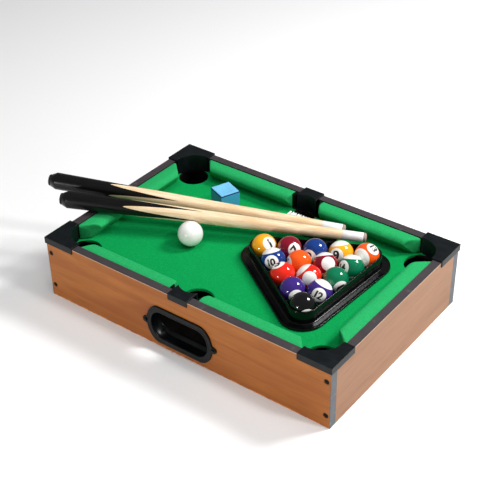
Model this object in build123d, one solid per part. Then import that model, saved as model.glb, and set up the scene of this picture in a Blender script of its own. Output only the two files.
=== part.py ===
from build123d import *
import math
import os

os.makedirs("parts", exist_ok=True)

# A table-top pool table with its balls, rack, cues, chalk and brush. Millimetres.
# Origin: centre of the underside. +X runs along the table, the ball return faces -Y, +Z is up.

# ---- Driving dimensions: the table ----
TABLE_LENGTH = 305.0
TABLE_WIDTH = 203.0
PANEL_TOP = 62.0
PANEL_THICKNESS = 8.0
BAND_THICKNESS = 0.4
BOARD_THICKNESS = 3.0
CLOTH_THICKNESS = 0.5
CLOTH_TOP = 46.0

# ---- Cushions ----
CUSHION_TOP = 61.5
SIDE_CUSHION_DEPTH = 14.0
END_CUSHION_DEPTH = 16.0
NOSE_LOW = 56.8
NOSE_HIGH = 58.6
NOSE_ROUND = 3.0
UNDERCUT = 8.0
SIDE_CUSHION_BACK = (12.0, 119.6)
SIDE_CUSHION_NOSE = (18.0, 110.0)
END_CUSHION_BACK = 69.0
END_CUSHION_NOSE = 56.0

# ---- Pockets and their caps ----
HOLE_RADIUS = 15.0
MIDDLE_HOLE_Y = 76.0
CORNER_HOLE = (128.5, 77.5)
CAP_PLATE = 1.5
CAP_LIP_DEPTH = 6.4
CAP_LIP_THICKNESS = 1.0
CORNER_CAP_ARM = 33.0
CAP_INNER_OVERLAP = 2.5
CORNER_ARC_RADIUS = 20.5
SKIRT_THICKNESS = 1.4
MIDDLE_CAP_WIDTH = 20.7
MIDDLE_ARC_RADIUS = 15.2

# ---- Ball return ----
CUP_CENTRE_Z = 24.3
FLANGE_STRAIGHT = 22.0
MOUTH_STRAIGHT = 19.5
FLANGE_HALF = (35.6, 19.4)
FLANGE_THICKNESS = 1.6
MOUTH_HALF = (30.6, 13.8)
SLEEVE_HALF = (32.8, 16.0)
SLEEVE_WALL = 1.5
SLEEVE_DEPTH = 12.0
EAR_X = 36.8
EAR_RADIUS = 3.3
RUNWAY_THICKNESS = 2.0
RUNWAY_LOW = 7.8
RUNWAY_RISE_X = 3.0
RUNWAY_RISE_Y = 4.0
CUP_NOTCH = (38.0, 13.0)
LEDGER = 8.0

# ---- Screws ----
SCREW_X = 148.3
SCREW_HEIGHTS = (12.2, 47.3)
SCREW_HEAD_RADIUS = 2.4
SCREW_HEAD_HEIGHT = 1.8
SCREW_SINK = 0.6
SCREW_SHANK_RADIUS = 1.3
SCREW_LENGTH = 20.0
FIT_GAP = 0.15

# ---- Balls and rack ----
BALL_RADIUS = 11.25
BALL_SPACING = 22.8
CUE_BALL_RADIUS = 11.6
CUE_BALL_PLACE = (-55.6, -16.3)
REST_GAP = 0.25
RACK_CENTRE = (62.6, 3.4)
RACK_TURN = 26.5
RACK_ROWS = ((1, 7, 2, 9, 13), (10, 5, 15, 14), (3, 11, 6), (4, 12), (8,))
RACK_CLEARANCE = 0.4
RACK_WALL = 1.5
RACK_TOP = 60.0
RACK_FLANGE = 7.9
RACK_FLANGE_THICKNESS = 1.4
RACK_BEAD = (0.9, 0.7)

# ---- Cues ----
CUE_LENGTH = 284.0
CUE_BUTT_RADIUS = 8.1
CUE_FERRULE_RADIUS = 4.4
FERRULE_LENGTH = 18.8
TIP_LENGTH = 3.0
BUMPER_LENGTH = 2.5
BUMPER_RADIUS = 5.4
BUTT_CHAMFER = 4.5
FRONT_CUE = ((76.6, 70.8, 57.2), 26.85, 3.0)
REAR_CUE = ((54.0, 71.4, 57.0), 23.45, 3.44)

# ---- Chalk and brush ----
CHALK_SIDE = 20.0
CHALK_HEIGHT = 19.5
CHALK_PLACE = (-68.6, 52.1)
CHALK_TURN = -22.0
WRAPPER_HEIGHT = 19.0
WRAPPER_THICKNESS = 0.4
WORN_RADIUS = 40.0
WORN_DEPTH = 0.8
BRUSH_HEAD = (-10.0, 23.0)
BRUSH_BACK = (53.5, 62.0)
BRUSH_GRIP_END = 50.0
BRUSH_GRIP_WIDTH = 6.5
BRUSH_HEIGHT = 7.2
BRISTLE_LENGTH = 12.5
BRISTLE_LEVELS = (47.4, 53.0)

HALF_LENGTH = TABLE_LENGTH / 2
HALF_WIDTH = TABLE_WIDTH / 2
INNER_X = HALF_LENGTH - PANEL_THICKNESS
INNER_Y = HALF_WIDTH - PANEL_THICKNESS
BED_BOTTOM = CLOTH_TOP - CLOTH_THICKNESS - BOARD_THICKNESS
CAP_TOP = PANEL_TOP + CAP_PLATE


def block(low, high):
    """A box between two corners."""
    size = [b - a for a, b in zip(low, high)]
    middle = [(a + b) / 2 for a, b in zip(low, high)]
    return Pos(*middle) * Box(*size)


def rod(start, direction, radius, length):
    """A cylinder that starts at a point and runs along a direction."""
    return Plane(origin=start, z_dir=direction) * Cylinder(
        radius, length, align=(Align.CENTER, Align.CENTER, Align.MIN)
    )


def prism(points, low, high):
    """A plan outline raised between two heights."""
    face = make_face(Polyline(*points, close=True))
    return Pos(0, 0, low) * extrude(face, high - low)


def save(name, shape):
    """Write one piece, or one group of like fasteners, to its own file."""
    solids = shape.solids()
    piece = solids[0] if len(solids) == 1 else Compound(children=list(solids))
    piece.label = name
    export_step(piece, f"parts/{name}.step")


# ---- Body ----

def screw_places():
    """Where the panel screws stand: x, height and which side they enter."""
    return [(x, side, z) for side in (-1, 1) for x in (-SCREW_X, SCREW_X) for z in SCREW_HEIGHTS]


def screw_clearance():
    """Counterbores and pilot holes for every panel screw."""
    holes = []
    for x, side, z in screw_places():
        face = side * HALF_WIDTH
        inward = (0, -side, 0)
        sunk = SCREW_SINK + SCREW_HEAD_HEIGHT + FIT_GAP
        holes.append(rod((x, face, z), inward, SCREW_HEAD_RADIUS + FIT_GAP, sunk))
        holes.append(rod((x, face, z), inward, SCREW_SHANK_RADIUS + FIT_GAP, SCREW_LENGTH + 1))
    return holes


def panel_screws():
    """Cross-head screws that hold the long panels to the end panels."""
    screws = []
    for x, side, z in screw_places():
        head_face = side * (HALF_WIDTH - SCREW_SINK)
        inward = (0, -side, 0)
        head = rod((x, head_face, z), inward, SCREW_HEAD_RADIUS, SCREW_HEAD_HEIGHT)
        shank = rod((x, head_face, z), inward, SCREW_SHANK_RADIUS, SCREW_LENGTH - SCREW_SINK)
        slot = Pos(x, head_face, z) * (Box(2.8, 1.6, 0.6) + Box(0.6, 1.6, 2.8))
        screws.append(head + shank - slot)
    return Compound(children=[s.solid() for s in screws])


def cup_outline(half, straight):
    """A long opening: straight top and bottom joined by half-ellipse ends."""
    half_x, half_z = half
    end = half_x - straight
    ends = [Pos(side * straight, 0) * Ellipse(end, half_z) for side in (-1, 1)]
    return Rectangle(2 * straight, 2 * half_z) + ends


def through_front(face, front, depth):
    """Push an upright outline inwards from a depth in front of the table's middle."""
    upright = Plane(origin=(0, front, CUP_CENTRE_Z), x_dir=(1, 0, 0), z_dir=(0, -1, 0))
    return extrude(upright * face, -depth)


def long_panel(side):
    """Front or rear board; the front one has the ball return's opening."""
    near, far = sorted((side * INNER_Y, side * HALF_WIDTH))
    end = HALF_LENGTH - BAND_THICKNESS
    panel = block((-end, near, 0), (end, far, PANEL_TOP - BAND_THICKNESS))
    if side < 0:
        hole = tuple(h + SLEEVE_WALL + FIT_GAP for h in SLEEVE_HALF)
        panel -= through_front(cup_outline(hole, MOUTH_STRAIGHT), -HALF_WIDTH - 1, PANEL_THICKNESS + 2)
        for x in (-EAR_X, EAR_X):
            panel -= rod((x, -HALF_WIDTH - 1, CUP_CENTRE_Z), (0, 1, 0), 0.75 + FIT_GAP / 2, 7)
    return panel - screw_clearance()


def end_panel(side):
    """Left or right board, fitted between the long ones."""
    near, far = sorted((side * INNER_X, side * HALF_LENGTH))
    panel = block((near, -INNER_Y, 0), (far, INNER_Y, PANEL_TOP - BAND_THICKNESS))
    return panel - screw_clearance()


def edge_band(direction, side):
    """The thin dark strip glued along a panel's top edge."""
    low, high = PANEL_TOP - BAND_THICKNESS, PANEL_TOP
    if direction == "long":
        near, far = sorted((side * INNER_Y, side * HALF_WIDTH))
        return block((-HALF_LENGTH, near, low), (HALF_LENGTH, far, high))
    near, far = sorted((side * INNER_X, side * HALF_LENGTH))
    return block((near, -INNER_Y, low), (far, INNER_Y, high))


def panel_end_bands():
    """Grey strips over the four end faces of the long panels."""
    strips = []
    for side_x in (-1, 1):
        for side_y in (-1, 1):
            x_near, x_far = sorted((side_x * (HALF_LENGTH - BAND_THICKNESS), side_x * HALF_LENGTH))
            y_near, y_far = sorted((side_y * INNER_Y, side_y * HALF_WIDTH))
            strips.append(block((x_near, y_near, 0), (x_far, y_far, PANEL_TOP - BAND_THICKNESS)))
    return Compound(children=[s.solid() for s in strips])


def pocket_holes(low, high, radius=HOLE_RADIUS):
    """Round cutters for all six pockets between two heights."""
    places = [(0, side * MIDDLE_HOLE_Y) for side in (-1, 1)]
    places += [(i * CORNER_HOLE[0], j * CORNER_HOLE[1]) for i in (-1, 1) for j in (-1, 1)]
    return [rod((x, y, low), (0, 0, 1), radius, high - low) for x, y in places]


def bed_layer(low, high, radius):
    """One layer of the bed, with its six pocket holes."""
    layer = block((-INNER_X, -INNER_Y, low), (INNER_X, INNER_Y, high))
    return layer - pocket_holes(low - 1, high + 1, radius)


def bed_ledgers():
    """Strips on the panels' inner faces that carry the bed, clear of the pockets."""
    low, high = BED_BOTTOM - LEDGER, BED_BOTTOM
    strips = []
    for side in (-1, 1):
        near, far = sorted((side * (INNER_Y - LEDGER), side * INNER_Y))
        for start, stop in ((-105, -40), (40, 105)):
            strips.append(block((start, near, low), (stop, far, high)))
        near, far = sorted((side * (INNER_X - LEDGER), side * INNER_X))
        strips.append(block((near, -52, low), (far, 52, high)))
    return Compound(children=[s.solid() for s in strips])


def runway(side):
    """Half of the sloped board under the bed that leads every ball to the return."""
    length, width = INNER_X, 2 * INNER_Y
    low = RUNWAY_LOW - RUNWAY_THICKNESS

    def level(x, y):
        return low + RUNWAY_RISE_X * x / length + RUNWAY_RISE_Y * (y + INNER_Y) / width

    corners = [(0.2, -INNER_Y), (length, -INNER_Y), (length, INNER_Y), (0.2, INNER_Y)]
    plane = Plane(
        origin=(0, -INNER_Y, low),
        x_dir=(length, 0, RUNWAY_RISE_X),
        z_dir=(-RUNWAY_RISE_X / length, -RUNWAY_RISE_Y / width, 1),
    )
    slab = plane * block((-20, -30, 0), (length + 20, width + 30, RUNWAY_THICKNESS))
    board = slab & prism(corners, 0, level(length, INNER_Y) + 10)
    notch_x, notch_y = CUP_NOTCH
    board -= block((-1, -INNER_Y - 1, 0), (notch_x, -INNER_Y + notch_y - 8, PANEL_TOP))
    return board if side > 0 else board.mirror(Plane.YZ)


def runway_battens():
    """Four wedge-topped rails that hold the runway off the bottom board."""
    battens = []
    for x in (-120, -50, 50, 120):
        y_low, y_high = -INNER_Y + 14, INNER_Y - 1
        heights = []
        for y in (y_low, y_high):
            rise = RUNWAY_RISE_X * (abs(x) - 5) / INNER_X + RUNWAY_RISE_Y * (y + INNER_Y) / (2 * INNER_Y)
            heights.append(RUNWAY_LOW - RUNWAY_THICKNESS + rise - 0.3)
        side = Polyline(
            (y_low, BOARD_THICKNESS), (y_high, BOARD_THICKNESS), (y_high, heights[1]),
            (y_low, heights[0]), close=True,
        )
        face = Plane(origin=(x - 5, 0, 0), x_dir=(0, 1, 0), z_dir=(1, 0, 0)) * make_face(side)
        battens.append(extrude(face, 10))
    return Compound(children=[b.solid() for b in battens])


# ---- Cushions ----

def cushion_section(back, depth):
    """Cross-section across a cushion: flat top, rounded nose and undercut face."""
    nose = back - depth
    points = [
        (back, CLOTH_TOP), (back, CUSHION_TOP), (nose + NOSE_ROUND, CUSHION_TOP),
        (nose, NOSE_HIGH), (nose, NOSE_LOW), (nose + UNDERCUT, CLOTH_TOP),
    ]
    return make_face(Polyline(*points, close=True))


def side_cushion(side_x, side_y):
    """One of the four cushions on the long rails, cut at an angle beside each pocket."""
    nose = INNER_Y - SIDE_CUSHION_DEPTH
    section = Plane.YZ * cushion_section(INNER_Y, SIDE_CUSHION_DEPTH)
    bar = extrude(section, HALF_LENGTH)
    low, high = CLOTH_TOP - 1, CUSHION_TOP + 1
    plan = prism(
        [(SIDE_CUSHION_BACK[0], INNER_Y), (SIDE_CUSHION_BACK[1], INNER_Y),
         (SIDE_CUSHION_NOSE[1], nose), (SIDE_CUSHION_NOSE[0], nose)], low, high,
    )
    cushion = bar & plan
    if side_x < 0:
        cushion = cushion.mirror(Plane.YZ)
    return cushion if side_y > 0 else cushion.mirror(Plane.XZ)


def end_cushion(side):
    """One of the two short cushions."""
    nose = INNER_X - END_CUSHION_DEPTH
    section = Plane.XZ * cushion_section(INNER_X, END_CUSHION_DEPTH)
    bar = extrude(section, HALF_WIDTH, both=True)
    plan = prism(
        [(INNER_X, -END_CUSHION_BACK), (INNER_X, END_CUSHION_BACK),
         (nose, END_CUSHION_NOSE), (nose, -END_CUSHION_NOSE)], CLOTH_TOP - 1, CUSHION_TOP + 1,
    )
    cushion = bar & plan
    return cushion if side > 0 else cushion.mirror(Plane.YZ)


# ---- Pocket caps ----

def corner_cap(side_x, side_y):
    """Angle cap: top plate, outer lips and the round skirt behind the pocket."""
    outer_x = HALF_LENGTH + CAP_LIP_THICKNESS
    outer_y = HALF_WIDTH + CAP_LIP_THICKNESS
    start_x, start_y = outer_x - CORNER_CAP_ARM, outer_y - CORNER_CAP_ARM
    centre = (INNER_X - CORNER_ARC_RADIUS - SKIRT_THICKNESS - 0.1,
              INNER_Y - CORNER_ARC_RADIUS - SKIRT_THICKNESS - 0.1)
    ring_low = CLOTH_TOP + 0.1
    plate = block((start_x, start_y, PANEL_TOP), (outer_x, outer_y, CAP_TOP))
    plate -= block((0, 0, 0), (centre[0], INNER_Y - CAP_INNER_OVERLAP, CAP_TOP + 1))
    plate -= block((0, 0, 0), (INNER_X - CAP_INNER_OVERLAP, centre[1], CAP_TOP + 1))
    plate -= rod((*centre, 0), (0, 0, 1), CORNER_ARC_RADIUS, CAP_TOP + 1)
    lip_low = CAP_TOP - CAP_LIP_DEPTH
    lip_x = block((HALF_LENGTH, start_y, lip_low), (outer_x, outer_y, CAP_TOP))
    lip_y = block((start_x, HALF_WIDTH, lip_low), (outer_x, outer_y, CAP_TOP))
    skirt = rod((*centre, ring_low), (0, 0, 1), CORNER_ARC_RADIUS + SKIRT_THICKNESS, PANEL_TOP - ring_low)
    skirt -= rod((*centre, ring_low - 1), (0, 0, 1), CORNER_ARC_RADIUS, PANEL_TOP)
    skirt &= block((*centre, ring_low - 1), (INNER_X, INNER_Y, CAP_TOP))
    cap = plate + lip_x + lip_y + skirt
    if side_x < 0:
        cap = cap.mirror(Plane.YZ)
    return cap if side_y > 0 else cap.mirror(Plane.XZ)


def middle_cap(side):
    """Straight cap over a middle pocket, with its lip and skirt."""
    half = MIDDLE_CAP_WIDTH / 2
    outer = HALF_WIDTH + CAP_LIP_THICKNESS
    ring_low = CLOTH_TOP + 0.1
    inner = INNER_Y - CAP_INNER_OVERLAP - 3.5
    plate = block((-half, inner, PANEL_TOP), (half, outer, CAP_TOP))
    plate -= rod((0, MIDDLE_HOLE_Y, 0), (0, 0, 1), MIDDLE_ARC_RADIUS, CAP_TOP + 1)
    lip = block((-half, HALF_WIDTH, CAP_TOP - CAP_LIP_DEPTH), (half, outer, CAP_TOP))
    skirt = rod((0, MIDDLE_HOLE_Y, ring_low), (0, 0, 1), MIDDLE_ARC_RADIUS + SKIRT_THICKNESS,
                PANEL_TOP - ring_low)
    skirt -= rod((0, MIDDLE_HOLE_Y, ring_low - 1), (0, 0, 1), MIDDLE_ARC_RADIUS, PANEL_TOP)
    skirt &= block((-half, inner, ring_low - 1), (half, INNER_Y, CAP_TOP))
    cap = plate + lip + skirt
    return cap if side > 0 else cap.mirror(Plane.XZ)


# ---- Ball return ----

def ball_return_cup():
    """Moulded bezel and sleeve through the front panel, open behind to the runway."""
    front = -HALF_WIDTH - FLANGE_THICKNESS
    bezel = through_front(cup_outline(FLANGE_HALF, FLANGE_STRAIGHT), front, FLANGE_THICKNESS)
    outer = tuple(h + SLEEVE_WALL for h in SLEEVE_HALF)
    sleeve = through_front(cup_outline(outer, MOUTH_STRAIGHT), -HALF_WIDTH, SLEEVE_DEPTH)
    for x in (-EAR_X, EAR_X):
        bezel += rod((x, front, CUP_CENTRE_Z), (0, 1, 0), EAR_RADIUS, FLANGE_THICKNESS)
    cup = bezel + sleeve
    cup -= through_front(cup_outline(MOUTH_HALF, MOUTH_STRAIGHT), front - 1, FLANGE_THICKNESS + 2)
    cup -= through_front(cup_outline(SLEEVE_HALF, MOUTH_STRAIGHT), -HALF_WIDTH, SLEEVE_DEPTH + 1)
    for x in (-EAR_X, EAR_X):
        cup -= rod((x, front - 1, CUP_CENTRE_Z), (0, 1, 0), 0.75 + FIT_GAP / 2, 4)
    return cup


def cup_screws():
    """The two small round-head screws in the bezel's ears."""
    front = -HALF_WIDTH - FLANGE_THICKNESS
    screws = []
    for x in (-EAR_X, EAR_X):
        head = Pos(x, front, CUP_CENTRE_Z) * Sphere(1.9)
        head &= block((x - 2, front - 1.1, CUP_CENTRE_Z - 2), (x + 2, front, CUP_CENTRE_Z + 2))
        screws.append(head + rod((x, front - 0.2, CUP_CENTRE_Z), (0, 1, 0), 0.75, 7.0))
    return Compound(children=[s.solid() for s in screws])


# ---- Balls and rack ----

def rack_vector(along, towards_apex):
    """A point of the rack's own grid, turned to its place on the table."""
    turn = math.radians(RACK_TURN)
    x = RACK_CENTRE[0] + along * math.cos(turn) + towards_apex * math.sin(turn)
    y = RACK_CENTRE[1] + along * math.sin(turn) - towards_apex * math.cos(turn)
    return x, y


def ball_places():
    """Number and centre of each racked ball, row by row from the back to the apex."""
    row_step = BALL_SPACING * math.sqrt(3) / 2
    places = {}
    for row, numbers in enumerate(RACK_ROWS):
        for column, number in enumerate(numbers):
            along = (column - (len(numbers) - 1) / 2) * BALL_SPACING
            places[number] = rack_vector(along, (row - 4 / 3) * row_step)
    return places


def ball(place, radius):
    """A ball resting on the cloth."""
    return Pos(*place, CLOTH_TOP + REST_GAP + radius) * Sphere(radius)


def triangle(distance):
    """The rack's rounded triangle, a distance outside the corner balls' centres."""
    places = ball_places()
    corners = [places[n] for n in (RACK_ROWS[0][0], RACK_ROWS[0][-1], RACK_ROWS[-1][0])]
    core = make_face(Polyline(*corners, close=True))
    return offset(core, amount=distance, kind=Kind.ARC)


def rack():
    """Triangle rack: an upright wall round the balls on a broad foot with a raised rim."""
    inner = BALL_RADIUS + RACK_CLEARANCE
    outer = inner + RACK_WALL
    foot = outer + RACK_FLANGE
    low = CLOTH_TOP + REST_GAP
    bead_width, bead_height = RACK_BEAD
    frame = Pos(0, 0, low) * extrude(triangle(foot), RACK_FLANGE_THICKNESS)
    bead = Pos(0, 0, low) * extrude(triangle(foot), RACK_FLANGE_THICKNESS + bead_height)
    bead -= Pos(0, 0, low - 1) * extrude(triangle(foot - bead_width), 10)
    wall = Pos(0, 0, low) * extrude(triangle(outer), RACK_TOP - low)
    body = frame + bead + wall
    return body - Pos(0, 0, low - 1) * extrude(triangle(inner), RACK_TOP)


# ---- Cues ----

def cue_axis(cue):
    """Butt centre and unit direction from butt to tip."""
    tip, heading, dip = cue
    turn, fall = math.radians(heading), math.radians(dip)
    direction = Vector(
        math.cos(fall) * math.cos(turn), math.cos(fall) * math.sin(turn), -math.sin(fall)
    )
    return Vector(*tip) - direction * CUE_LENGTH, direction


def turned(cue, profile):
    """Revolve a half-profile of (distance from butt, radius) points about a cue's axis."""
    butt, direction = cue_axis(cue)
    face = make_face(Polyline(*[(r, d) for d, r in profile], close=True))
    solid = revolve(Plane.XZ * face, Axis.Z)
    return Plane(origin=butt, z_dir=direction) * solid


def cue_pieces(cue):
    """Shaft, ferrule, tip and bumper of one cue."""
    shaft_end = CUE_LENGTH - TIP_LENGTH - FERRULE_LENGTH
    ferrule_end = CUE_LENGTH - TIP_LENGTH
    joint_radius = CUE_FERRULE_RADIUS + 0.25
    shaft = [
        (BUMPER_LENGTH, 0), (BUMPER_LENGTH, BUMPER_RADIUS + 0.6),
        (BUMPER_LENGTH + BUTT_CHAMFER, CUE_BUTT_RADIUS),
        (shaft_end, joint_radius), (shaft_end, 0),
    ]
    ferrule = [(shaft_end, 0), (shaft_end, joint_radius), (ferrule_end, CUE_FERRULE_RADIUS), (ferrule_end, 0)]
    dome = CUE_FERRULE_RADIUS - 0.2
    tip = [
        (ferrule_end, 0), (ferrule_end, dome), (CUE_LENGTH - 1.3, dome), (CUE_LENGTH - 0.4, dome * 0.72),
        (CUE_LENGTH, 0),
    ]
    bumper = [(0, 0), (0, BUMPER_RADIUS - 0.8), (0.8, BUMPER_RADIUS), (BUMPER_LENGTH, BUMPER_RADIUS), (BUMPER_LENGTH, 0)]
    profiles = {"shaft": shaft, "ferrule": ferrule, "tip": tip, "bumper": bumper}
    return {name: turned(cue, profile) for name, profile in profiles.items()}


# ---- Chalk and brush ----

def chalk():
    """A cube of chalk in a paper wrapper, with the worn hollow on top."""
    low = CLOTH_TOP + REST_GAP
    inner = CHALK_SIDE - 2 * WRAPPER_THICKNESS
    cube = Box(inner, inner, CHALK_HEIGHT, align=(Align.CENTER, Align.CENTER, Align.MIN))
    cube -= Pos(0, 0, CHALK_HEIGHT + WORN_RADIUS - WORN_DEPTH) * Sphere(WORN_RADIUS)
    sleeve = Box(CHALK_SIDE, CHALK_SIDE, WRAPPER_HEIGHT, align=(Align.CENTER, Align.CENTER, Align.MIN))
    sleeve -= Box(inner, inner, 4 * WRAPPER_HEIGHT)
    place = Pos(*CHALK_PLACE, low) * Rot(0, 0, CHALK_TURN)
    return place * cube, place * sleeve


def brush():
    """Table brush lying on its side: a wooden head with a grip, and a row of bristles."""
    low = CLOTH_TOP + 0.2
    high = low + BRUSH_HEIGHT
    head = block((BRUSH_HEAD[0], BRUSH_BACK[0], low), (BRUSH_HEAD[1], BRUSH_BACK[1], high))
    middle = sum(BRUSH_BACK) / 2
    half = BRUSH_GRIP_WIDTH / 2
    grip = block((BRUSH_HEAD[1], middle - half, low), (BRUSH_GRIP_END, middle + half, high))
    grip += rod((BRUSH_GRIP_END, middle, low), (0, 0, 1), half, BRUSH_HEIGHT)
    back = fillet((head + grip).edges().group_by(Axis.Z)[-1], 1.0)
    bristles = block(
        (BRUSH_HEAD[0] + 1, BRUSH_BACK[1], BRISTLE_LEVELS[0]),
        (BRUSH_HEAD[1] - 1, BRUSH_BACK[1] + BRISTLE_LENGTH, BRISTLE_LEVELS[1]),
    )
    return back, bristles


def build_table():
    """Write the table's own pieces."""
    save("front_panel", long_panel(-1))
    save("rear_panel", long_panel(1))
    save("left_end_panel", end_panel(-1))
    save("right_end_panel", end_panel(1))
    save("top_edge_band_front", edge_band("long", -1))
    save("top_edge_band_rear", edge_band("long", 1))
    save("top_edge_band_left", edge_band("short", -1))
    save("top_edge_band_right", edge_band("short", 1))
    save("panel_end_bands", panel_end_bands())
    save("panel_screws", panel_screws())
    save("bottom_board", block((-INNER_X, -INNER_Y, 0), (INNER_X, INNER_Y, BOARD_THICKNESS)))
    save("bed_board", bed_layer(BED_BOTTOM, BED_BOTTOM + BOARD_THICKNESS, HOLE_RADIUS))
    save("bed_cloth", bed_layer(BED_BOTTOM + BOARD_THICKNESS, CLOTH_TOP, HOLE_RADIUS))
    save("bed_ledgers", bed_ledgers())
    save("runway_left", runway(-1))
    save("runway_right", runway(1))
    save("runway_battens", runway_battens())
    for word_y, side_y in (("front", -1), ("rear", 1)):
        save(f"{word_y}_middle_cap", middle_cap(side_y))
        for word_x, side_x in (("left", -1), ("right", 1)):
            save(f"{word_y}_{word_x}_cushion", side_cushion(side_x, side_y))
            save(f"{word_y}_{word_x}_corner_cap", corner_cap(side_x, side_y))
    save("left_end_cushion", end_cushion(-1))
    save("right_end_cushion", end_cushion(1))
    save("ball_return_cup", ball_return_cup())
    save("cup_screws", cup_screws())


def build_accessories():
    """Write the loose pieces that lie on the table."""
    for number, place in sorted(ball_places().items()):
        save(f"ball_{number:02d}", ball(place, BALL_RADIUS))
    save("cue_ball", ball(CUE_BALL_PLACE, CUE_BALL_RADIUS))
    save("rack", rack())
    for word, cue in (("front", FRONT_CUE), ("rear", REAR_CUE)):
        for name, piece in cue_pieces(cue).items():
            save(f"{word}_cue_{name}", piece)
    chalk_block, chalk_wrapper = chalk()
    save("chalk_block", chalk_block)
    save("chalk_wrapper", chalk_wrapper)
    brush_handle, brush_bristles = brush()
    save("brush_handle", brush_handle)
    save("brush_bristles", brush_bristles)


build_table()
build_accessories()
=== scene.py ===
import math

import bmesh
import bpy
from mathutils import Matrix, Vector, noise


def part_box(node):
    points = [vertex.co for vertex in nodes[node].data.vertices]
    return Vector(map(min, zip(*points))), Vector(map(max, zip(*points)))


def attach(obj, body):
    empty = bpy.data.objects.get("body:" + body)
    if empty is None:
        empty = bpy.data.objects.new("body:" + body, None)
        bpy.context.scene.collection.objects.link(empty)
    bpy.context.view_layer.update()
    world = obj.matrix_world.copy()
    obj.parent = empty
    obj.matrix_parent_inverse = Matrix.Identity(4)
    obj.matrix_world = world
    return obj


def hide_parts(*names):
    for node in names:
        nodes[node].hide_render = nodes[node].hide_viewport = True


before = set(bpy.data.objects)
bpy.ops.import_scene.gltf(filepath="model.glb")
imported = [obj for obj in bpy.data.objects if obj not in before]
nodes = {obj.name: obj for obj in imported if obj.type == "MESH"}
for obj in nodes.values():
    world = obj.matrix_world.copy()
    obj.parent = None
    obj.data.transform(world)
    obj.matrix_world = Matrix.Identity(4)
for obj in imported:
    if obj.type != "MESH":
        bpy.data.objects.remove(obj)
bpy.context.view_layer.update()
MM = 0.001

# ---- How the set lies on the table ----
CUE_LIE = {"front": (26.85, 3.0), "rear": (23.45, 3.44)}
CUE_ROLL = {"front": 10.39, "rear": 10.90}
CLOTH_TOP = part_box("bed_cloth")[1].z

# ---- Table ----
POCKET_RADIUS = 15.0 * MM
POCKETS = [(x * MM, y * MM) for x, y in (
    (0, 76), (0, -76), (128.5, 77.5), (128.5, -77.5), (-128.5, 77.5), (-128.5, -77.5))]
FELT_TUCK = 2.6 * MM
TUCK_SHORT = 0.25 * MM
TUCK_TURN = 0.15
TUCK_FADE = 0.35
TUCK_STEPS = 72
# Black painted on the felt beside each pocket: partly the black pocket liners, partly painted shade under
# the pocket caps.
LINER_SHADE_X = 15.5 * MM
LINER_SHADE_Y = 86.0 * MM
LINER_SHADE_CORNER = 223.0 * MM
LINER_SHADE_EDGE = 0.6 * MM
CUSHIONS = ("front_left_cushion", "front_right_cushion", "rear_left_cushion",
            "rear_right_cushion", "left_end_cushion", "right_end_cushion")
BOARD_TOP = 61.6 * MM
INNER_X = 144.5 * MM
INNER_Y = 93.5 * MM
NOSE_ROUND = 3.0 * MM
NOSE_LOW = 56.8 * MM
NOSE_HIGH = 58.6 * MM
UNDERCUT = 8.0 * MM
MIDDLE_CUT = 6.0 * MM
CORNER_CUT = 9.6 * MM
END_CUT = 13.0 * MM
END_ROUND = 1.9 * MM
RIPPLE_UP = 0.12 * MM
RIPPLE_OUT = 0.15 * MM

# ---- Ball return, in millimetres: half width and half height of each loop ----
FLANGE_HALF = (35.6, 19.4)
MOUTH_HALF = (30.6, 13.8)
SLEEVE_HALF = (32.8, 16.0)
FLANGE_STRAIGHT = 22.0
MOUTH_STRAIGHT = 19.5
SLEEVE_WALL = 1.5
CURB = 3.4
EAR_X = 36.8
EAR_RADIUS = 3.3
EAR_BLEND = 0.8 * MM
END_STEPS = 72

# ---- Balls: where each number points (turn, tilt) and how it is rolled, in degrees ----
MARKS = {
    1: (-14, 44, -5), 2: (-85, 3, 0), 3: (-174, 62, -116), 4: (-39, 2, 20), 5: (-125, 9, -33),
    6: (-34, -5, 39), 7: (-26, 25, -34), 8: (142, 14, -12), 9: (-82, 22, -20), 10: (-63, 25, -18),
    11: (126, -30, 41), 12: (-60, 23, 26), 13: (13, 58, 113), 14: (-110, 23, -24), 15: (143, -41, -5),
}
DISC_RADIUS = 6.1 * MM
BOLD = 0.022
NUMERAL_STEP = 0.9 * MM
NUMERAL_SIZES = (1.05, 0.80)
NUMERAL_THICK = 0.03 * MM
NUMERAL_GAP = 0.01 * MM
STRIPE_HALF = 42

# ---- Rack: reach of its inner face, outer face and foot from the corner balls' centres ----
RACK_CORNERS = ("ball_01", "ball_13", "ball_08")
RACK_REACH = (11.65, 13.15, 21.05)
RACK_FOOT = 1.4 * MM
CORNER_STEPS = 28
SIDE_STEPS = 24

# ---- Cues ----
CUE_LENGTH = 284.0 * MM
BUTT_RADIUS = 8.1 * MM
FERRULE_RADIUS = 4.4 * MM
FERRULE_LENGTH = 18.8 * MM
TIP_LENGTH = 3.0 * MM
BUMPER_LENGTH = 2.5 * MM
BUMPER_RADIUS = 5.4 * MM
SPLICE_START = 61 * MM
SPLICE_END = {"front": 135 * MM, "rear": 129 * MM}

# ---- Camera ----
CAMERA_AZIMUTH = 37.26
CAMERA_ELEVATION = 34.98
CAMERA_ROLL = -1.0
CAMERA_DISTANCE = 1.0084
CAMERA_AIM = Vector((-3.2, 3.2, 50.0)) * MM
CAMERA_LENS = 81.13

# ---- Lights: name, turn, tilt, distance, size, watts, seen in reflections ----
WORLD_STRENGTH = 0.16
LIGHTS = (
    ("key", 48, 46, 1.3, 0.30, 14.5, True),
    ("side", 6, 47, 1.5, 0.16, 6.0, False),
    ("overhead", -70, 82, 1.5, 1.1, 9.5, False),
    ("front", -98, 9, 1.6, 0.14, 6.0, True),
    ("fill", -30, 14, 1.9, 0.8, 6.5, False),
)


# =====================================================================
# Shader writing
# =====================================================================

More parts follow.
